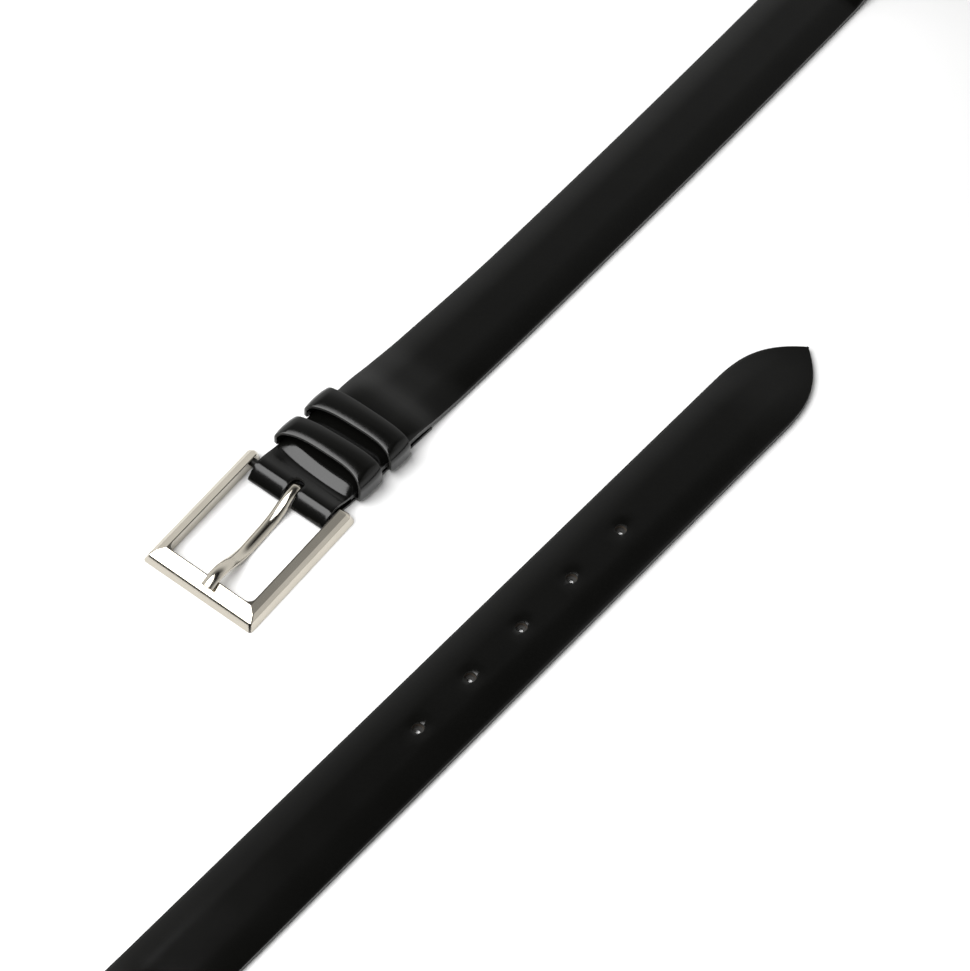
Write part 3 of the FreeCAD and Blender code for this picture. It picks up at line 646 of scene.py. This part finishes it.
def nickel_plate():
    """Nickel plate on polished zinc: a warm grey mirror, a little blurred by fine polishing marks."""
    nickel, surface = new_material("polished_nickel_plate", Metallic=1.0, Roughness=0.16)
    where = node(nickel, "ShaderNodeTexCoord").outputs["Object"]
    drawn = node(nickel, "ShaderNodeMapping", {"Vector": where,
                                               "Scale": (1 / (9 * MM), 1 / (0.5 * MM), 1 / (0.5 * MM))})
    marks = node(nickel, "ShaderNodeTexNoise", {"Vector": drawn.outputs["Vector"], "Scale": 1.0, "Detail": 3.0})
    clouds = node(nickel, "ShaderNodeTexNoise", {"Vector": where, "Scale": 1 / (6 * MM), "Detail": 2.0})
    polish = node(nickel, "ShaderNodeBump", {"Height": marks.outputs["Fac"], "Strength": 0.05,
                                             "Distance": 0.03 * MM})
    link(nickel, polish.outputs["Normal"], surface.inputs["Normal"])
    blur = node(nickel, "ShaderNodeMapRange", {"Value": clouds.outputs["Fac"], "To Min": 0.12, "To Max": 0.2})
    link(nickel, blur.outputs["Result"], surface.inputs["Roughness"])
    tone = node(nickel, "ShaderNodeMix", {"Factor": clouds.outputs["Fac"], "A": linear("#bbb5a9"),
                                          "B": linear("#c7c1b5")}, data_type="RGBA")
    link(nickel, tone.outputs["Result"], surface.inputs["Base Color"])
    return nickel


NICKEL = nickel_plate()


def on_buckle(x, y, z):
    """A point of the buckle, whose Y runs along its bar, set down on the table with the bar's skew."""
    turned_y = y + FRAME_SHIFT
    return START + Vector((x * math.cos(SKEW) - turned_y * math.sin(SKEW),
                           x * math.sin(SKEW) + turned_y * math.cos(SKEW), z))


bpy.ops.object.select_all(action="DESELECT")
bpy.ops.mesh.primitive_plane_add(size=1, location=(0, 0, 0))
casting = bpy.context.object
casting.name = casting.data.name = "buckle_frame_cast"
for vertex in casting.data.vertices:
    vertex.co = Vector((REAR if vertex.co.x > 0 else FRONT, math.copysign(OUTER_HALF, vertex.co.y), FRAME_LOW))
bpy.ops.object.mode_set(mode="EDIT")
for place, normal in (((WINDOW_FRONT, 0, 0), (1, 0, 0)), ((0, WINDOW_HALF, 0), (0, 1, 0)),
                      ((0, -WINDOW_HALF, 0), (0, 1, 0))):
    bpy.ops.mesh.select_all(action="SELECT")
    bpy.ops.mesh.bisect(plane_co=place, plane_no=normal)
bpy.ops.mesh.select_mode(type="FACE")
bpy.ops.object.mode_set(mode="OBJECT")
for polygon in casting.data.polygons:
    polygon.select = polygon.center.x > WINDOW_FRONT and abs(polygon.center.y) < WINDOW_HALF
bpy.ops.object.mode_set(mode="EDIT")
bpy.ops.mesh.delete(type="FACE")
bpy.ops.mesh.select_all(action="SELECT")
bpy.ops.mesh.dissolve_limited(angle_limit=math.radians(5))


def round_corners(shape, chosen, radius, segments):
    """Rounds the plan's corners that chosen(x, y) picks."""
    bpy.ops.object.mode_set(mode="EDIT")
    bpy.ops.mesh.select_mode(type="VERT")
    bpy.ops.mesh.select_all(action="DESELECT")
    bpy.ops.object.mode_set(mode="OBJECT")
    for vertex in shape.data.vertices:
        vertex.select = chosen(vertex.co.x, vertex.co.y)
    bpy.ops.object.mode_set(mode="EDIT")
    bpy.ops.mesh.bevel(offset_type="OFFSET", offset=radius, segments=segments, affect="VERTICES")


NEAR_ENOUGH = 0.1 * MM
ARM_ROUND, CORNER_ROUND, WINDOW_ROUND = 2.1 * MM, 1.2 * MM, 2.5 * MM
round_corners(casting, lambda x, y: x > REAR - NEAR_ENOUGH, ARM_ROUND, 8)
round_corners(casting, lambda x, y: x < FRONT + NEAR_ENOUGH, CORNER_ROUND, 5)
round_corners(casting, lambda x, y: (abs(x - WINDOW_FRONT) < NEAR_ENOUGH
                                     and abs(abs(y) - WINDOW_HALF) < NEAR_ENOUGH), WINDOW_ROUND, 7)
bpy.ops.mesh.select_mode(type="FACE")
bpy.ops.mesh.select_all(action="SELECT")
bpy.ops.object.mode_set(mode="OBJECT")


def drawn_in(x, y, side, front, end):
    """A point of the plan, drawn in towards the window: its side and front widths and its arm's end."""
    if abs(y) > WINDOW_HALF:
        y = math.copysign(WINDOW_HALF + (abs(y) - WINDOW_HALF) * side, y)
    if x < WINDOW_FRONT:
        x = WINDOW_FRONT + (x - WINDOW_FRONT) * front
    return x - end * MM * smooth(0, REAR, x), y


side_before, front_before, end_before = 1.0, 1.0, 0.0
for height, side_left, front_left, end_in in LEVELS:
    bpy.ops.object.mode_set(mode="EDIT")
    bpy.ops.mesh.extrude_region_move(TRANSFORM_OT_translate={"value": (0, 0, 1 * MM)})
    bpy.ops.object.mode_set(mode="OBJECT")
    for vertex in casting.data.vertices:
        if vertex.select:
            vertex.co.x, vertex.co.y = drawn_in(vertex.co.x, vertex.co.y, side_left / side_before,
                                                front_left / front_before, end_in - end_before)
            vertex.co.z = height * MM
    side_before, front_before, end_before = side_left, front_left, end_in
bpy.ops.object.mode_set(mode="EDIT")
bpy.ops.mesh.select_all(action="SELECT")
bpy.ops.mesh.normals_make_consistent(inside=False)
bpy.ops.object.mode_set(mode="OBJECT")
soften(casting, 0.17 * MM, segments=3, angle=14)
carry(casting, on_buckle)
smooth_shading(casting, angle=12)
flat_faces = casting.modifiers.new("flat_faces", "WEIGHTED_NORMAL")
flat_faces.keep_sharp = True
apply_modifiers(casting)
casting.data.materials.append(NICKEL)
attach(casting, "buckle")
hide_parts("buckle_frame")

# ------------------------------------------------------------------ buckle bar
# A drawn steel rod, its ends set in blind holes in the frame's arms. The strap's fold and the prong turn on it.
BAR_RADIUS, BAR_HALF = 1.5 * MM, 18.0 * MM


def steel_darkened_as_painted_shade():
    """Drawn steel rod, its colour darkened to near-black as painted shade beside the frame's left arm: much darker
    than the plate, with fine draw lines along it.
    """
    steel, surface = new_material("drawn_steel_rod", Metallic=1.0, Roughness=0.45, Base_Color=linear("#242423"))
    where = node(steel, "ShaderNodeTexCoord").outputs["Object"]
    along = node(steel, "ShaderNodeMapping", {"Vector": where,
                                              "Scale": (1 / (0.3 * MM), 1 / (6 * MM), 1 / (0.3 * MM))})
    lines = node(steel, "ShaderNodeTexNoise", {"Vector": along.outputs["Vector"], "Scale": 1.0, "Detail": 3.0})
    drawn = node(steel, "ShaderNodeBump", {"Height": lines.outputs["Fac"], "Strength": 0.2,
                                           "Distance": 0.03 * MM})
    link(steel, drawn.outputs["Normal"], surface.inputs["Normal"])
    tone = node(steel, "ShaderNodeMix", {"Factor": lines.outputs["Fac"], "A": linear("#1d1d1c"),
                                         "B": linear("#2c2b2a")}, data_type="RGBA")
    link(steel, tone.outputs["Result"], surface.inputs["Base Color"])
    return steel


# the rod's near-black colour is painted shade for the dark gap beside the frame's left arm
STEEL_DARKENED_AS_PAINTED_SHADE = steel_darkened_as_painted_shade()
bpy.ops.object.select_all(action="DESELECT")
bpy.ops.mesh.primitive_cylinder_add(vertices=48, radius=BAR_RADIUS, depth=2 * BAR_HALF, location=(0, 0, 0),
                                    rotation=(math.radians(90), 0, 0))
rod = bpy.context.object
rod.name = rod.data.name = "buckle_bar_rod"
bpy.ops.object.transform_apply(location=True, rotation=True, scale=False)
soften(rod, 0.3 * MM, segments=2, angle=60)
carry(rod, lambda x, y, z: on_buckle(x, y, z + BAR_HEIGHT))
smooth_shading(rod)
rod.data.materials.append(STEEL_DARKENED_AS_PAINTED_SHADE)
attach(rod, "buckle")
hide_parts("buckle_bar")

# ------------------------------------------------------------------ prong
# A tapered strip of nickelled brass with a ridged top. Its thin end is curled round the bar as an eye, and its
# arm dips across the window and drops over the front of the frame to a square-cut tip.
EYE_RADIUS, EYE_THICK, PRONG_THICK = 1.65 * MM, 0.8 * MM, 1.8 * MM
PRONG_HALF = 2.1 * MM
ROOT_WIDTH, TIP_SPREAD = 0.80, 0.08  # the root's width and what the tip adds, as shares of the arm's width
ARM_FROM = 9.0 * MM  # the arm has its full width from here
EYE_TURN = math.radians(285)
EYE_LENGTH = EYE_TURN * (EYE_RADIUS + EYE_THICK / 2)
PRONG_YAW = math.radians(1.8)
# the arm's top, seen along the bar: off the eye, down almost to the table and up over the front of the frame
PRONG_LINE = smooth_line([(0, 5.55), (1.5, 5.50), (4.5, 4.95), (8, 3.60), (12, 2.40), (16, 1.95), (24, 1.95),
                          (28, 2.35), (32, 3.70), (36, 5.65), (40, 6.95), (43.6, 7.05), (47.8, 5.95)])
PRONG_REACH = PRONG_LINE[-1][0]
SHOULDER = 0.5  # the ridge falls gently as far as this share of the half width, then steeply
prong = flat_sheet("prong_ridged_arm", PRONG_REACH + EYE_LENGTH, 2 * PRONG_HALF, PRONG_THICK, 150, 6)
for vertex in prong.data.vertices:
    part = abs(vertex.co.y) / PRONG_HALF
    if vertex.co.z > PRONG_THICK / 2:
        vertex.co.z -= (0.10 * part if part < SHOULDER else 0.05 + 1.6 * (part - SHOULDER)) * MM
soften(prong, 0.12 * MM, segments=2, angle=24)


def curl(x, y, z):
    """Carries the straight strip's point: its first part round the bar, the rest out over the window."""
    reach = x + (PRONG_REACH + EYE_LENGTH) / 2 - EYE_LENGTH
    if reach < 0:
        angle = -reach / EYE_LENGTH * EYE_TURN
        radius = EYE_RADIUS + z * EYE_THICK / PRONG_THICK
        out, up, half = -math.sin(angle) * radius, BAR_HEIGHT + math.cos(angle) * radius, ROOT_WIDTH
    else:
        thick = EYE_THICK + (PRONG_THICK - EYE_THICK) * smooth(0.5 * MM, 6 * MM, reach)
        out, up = on_line(PRONG_LINE, reach, (PRONG_THICK - z) * thick / PRONG_THICK)
        half = ROOT_WIDTH + (1 - ROOT_WIDTH) * smooth(2 * MM, ARM_FROM, reach)
        half += TIP_SPREAD * smooth(30 * MM, 40 * MM, reach)
    y *= half
    ahead = -out * math.cos(PRONG_YAW) - y * math.sin(PRONG_YAW)
    aside = -out * math.sin(PRONG_YAW) + y * math.cos(PRONG_YAW) + PRONG_SHIFT - FRAME_SHIFT
    return on_buckle(ahead, aside, up)


carry(prong, curl)
smooth_shading(prong, angle=22)
prong.data.materials.append(NICKEL)
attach(prong, "prong")
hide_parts("prong")

# ------------------------------------------------------------------ stitching
# One row of waxed thread across the strap, inside the front keeper, sews the flap and the keeper to the strap.
STITCH_LONG, STITCH_GAP, THREAD_RADIUS = 3.0 * MM, 0.4 * MM, 0.28 * MM
STITCH_COUNT, FLAP_STITCH_HEIGHT = 6, 2.6 * MM


def waxed_thread():
    """Waxed polyester thread: black, slightly shiny, with its plies showing as a fine slanting twist."""
    thread, surface = new_material("waxed_polyester_thread", Base_Color=linear("#191918"), Roughness=0.45)
    where = node(thread, "ShaderNodeTexCoord").outputs["Object"]
    twist = node(thread, "ShaderNodeTexWave", {"Vector": where, "Scale": 1 / (0.5 * MM) / math.tau,
                                               "Distortion": 0.5}, bands_direction="DIAGONAL")
    plies = node(thread, "ShaderNodeBump", {"Height": twist.outputs["Fac"], "Strength": 0.6, "Distance": 0.06 * MM})
    link(thread, plies.outputs["Normal"], surface.inputs["Normal"])
    tone = node(thread, "ShaderNodeMix", {"Factor": twist.outputs["Fac"], "A": linear("#121211"),
                                          "B": linear("#2a2a28")}, data_type="RGBA")
    link(thread, tone.outputs["Result"], surface.inputs["Base Color"])
    return thread


row_low, row_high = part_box("stitch_thread")
stitch_x = (row_low.x + row_high.x) / 2
stitches = []
for height in (row_high.z - 0.1 * MM, FLAP_STITCH_HEIGHT):
    for number in range(STITCH_COUNT):
        bpy.ops.object.select_all(action="DESELECT")
        bpy.ops.mesh.primitive_uv_sphere_add(segments=16, ring_count=10, radius=1)
        stitch = bpy.context.object
        bpy.ops.object.mode_set(mode="EDIT")
        bpy.ops.mesh.select_all(action="SELECT")
        bpy.ops.transform.resize(value=(THREAD_RADIUS, STITCH_LONG / 2, THREAD_RADIUS), center_override=(0, 0, 0))
        along = (number - (STITCH_COUNT - 1) / 2) * (STITCH_LONG + STITCH_GAP)
        bpy.ops.transform.translate(value=(stitch_x, START.y + along, height))
        bpy.ops.object.mode_set(mode="OBJECT")
        stitches.append(stitch)
bpy.ops.object.select_all(action="DESELECT")
for stitch in stitches:
    stitch.select_set(True)
bpy.context.view_layer.objects.active = stitches[0]
bpy.ops.object.join()
row = bpy.context.object
row.name = row.data.name = "stitch_row"
row.data.materials.append(waxed_thread())
smooth_shading(row, angle=60)
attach(row, "strap")
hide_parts("stitch_thread")


# ------------------------------------------------------------------ padding core
# A strip of bonded leather board, skived to a crown, gives the strap its padded shape. It is covered all round.
def bonded_board():
    """Bonded leather board: pressed fibre, brown-grey and matt, with short flecks."""
    board, surface = new_material("bonded_leather_board", Base_Color=linear("#4a4138"), Roughness=0.85)
    where = node(board, "ShaderNodeTexCoord").outputs["Object"]
    flecks = node(board, "ShaderNodeTexNoise", {"Vector": where, "Scale": 1 / (0.5 * MM), "Detail": 4.0})
    tone = node(board, "ShaderNodeMix", {"Factor": flecks.outputs["Fac"], "A": linear("#2f2924"),
                                         "B": linear("#65594c")}, data_type="RGBA")
    link(board, tone.outputs["Result"], surface.inputs["Base Color"])
    pressed = node(board, "ShaderNodeBump", {"Height": flecks.outputs["Fac"], "Strength": 0.4, "Distance": 0.1 * MM})
    link(board, pressed.outputs["Normal"], surface.inputs["Normal"])
    return board


frame["nodes"]["padding_core"].data.materials.clear()
frame["nodes"]["padding_core"].data.materials.append(bonded_board())


# ------------------------------------------------------------------ fold tape
# Woven tape glued inside the fold, so that the bar bears on cloth and the leather doesn't stretch.
def woven_tape():
    """Woven nylon tape: black, matt, with crossing threads about 0.6 mm apart."""
    tape, surface = new_material("woven_nylon_tape", Base_Color=linear("#1f1f20"), Roughness=0.75)
    where = node(tape, "ShaderNodeTexCoord").outputs["Object"]
    warp = node(tape, "ShaderNodeTexWave", {"Vector": where, "Scale": 1 / (0.6 * MM) / math.tau}, bands_direction="X")
    weft = node(tape, "ShaderNodeTexWave", {"Vector": where, "Scale": 1 / (0.6 * MM) / math.tau}, bands_direction="Y")
    crossing = node(tape, "ShaderNodeMath", {0: warp.outputs["Fac"], 1: weft.outputs["Fac"]}, operation="MULTIPLY")
    cloth = node(tape, "ShaderNodeBump", {"Height": crossing.outputs["Value"], "Strength": 0.7, "Distance": 0.1 * MM})
    link(tape, cloth.outputs["Normal"], surface.inputs["Normal"])
    tone = node(tape, "ShaderNodeMix", {"Factor": crossing.outputs["Value"], "A": linear("#141415"),
                                        "B": linear("#323234")}, data_type="RGBA")
    link(tape, tone.outputs["Result"], surface.inputs["Base Color"])
    return tape


frame["nodes"]["fold_tape"].data.materials.clear()
frame["nodes"]["fold_tape"].data.materials.append(woven_tape())

# ------------------------------------------------------------------ keeper staples
# A flat wire staple closes each keeper's butt joint. It takes the same steel as the bar, darkened to near-black as
# painted shade.
for staple in ("keeper_front_staple", "keeper_rear_staple"):
    frame["nodes"][staple].data.materials.clear()
    frame["nodes"][staple].data.materials.append(STEEL_DARKENED_AS_PAINTED_SHADE)
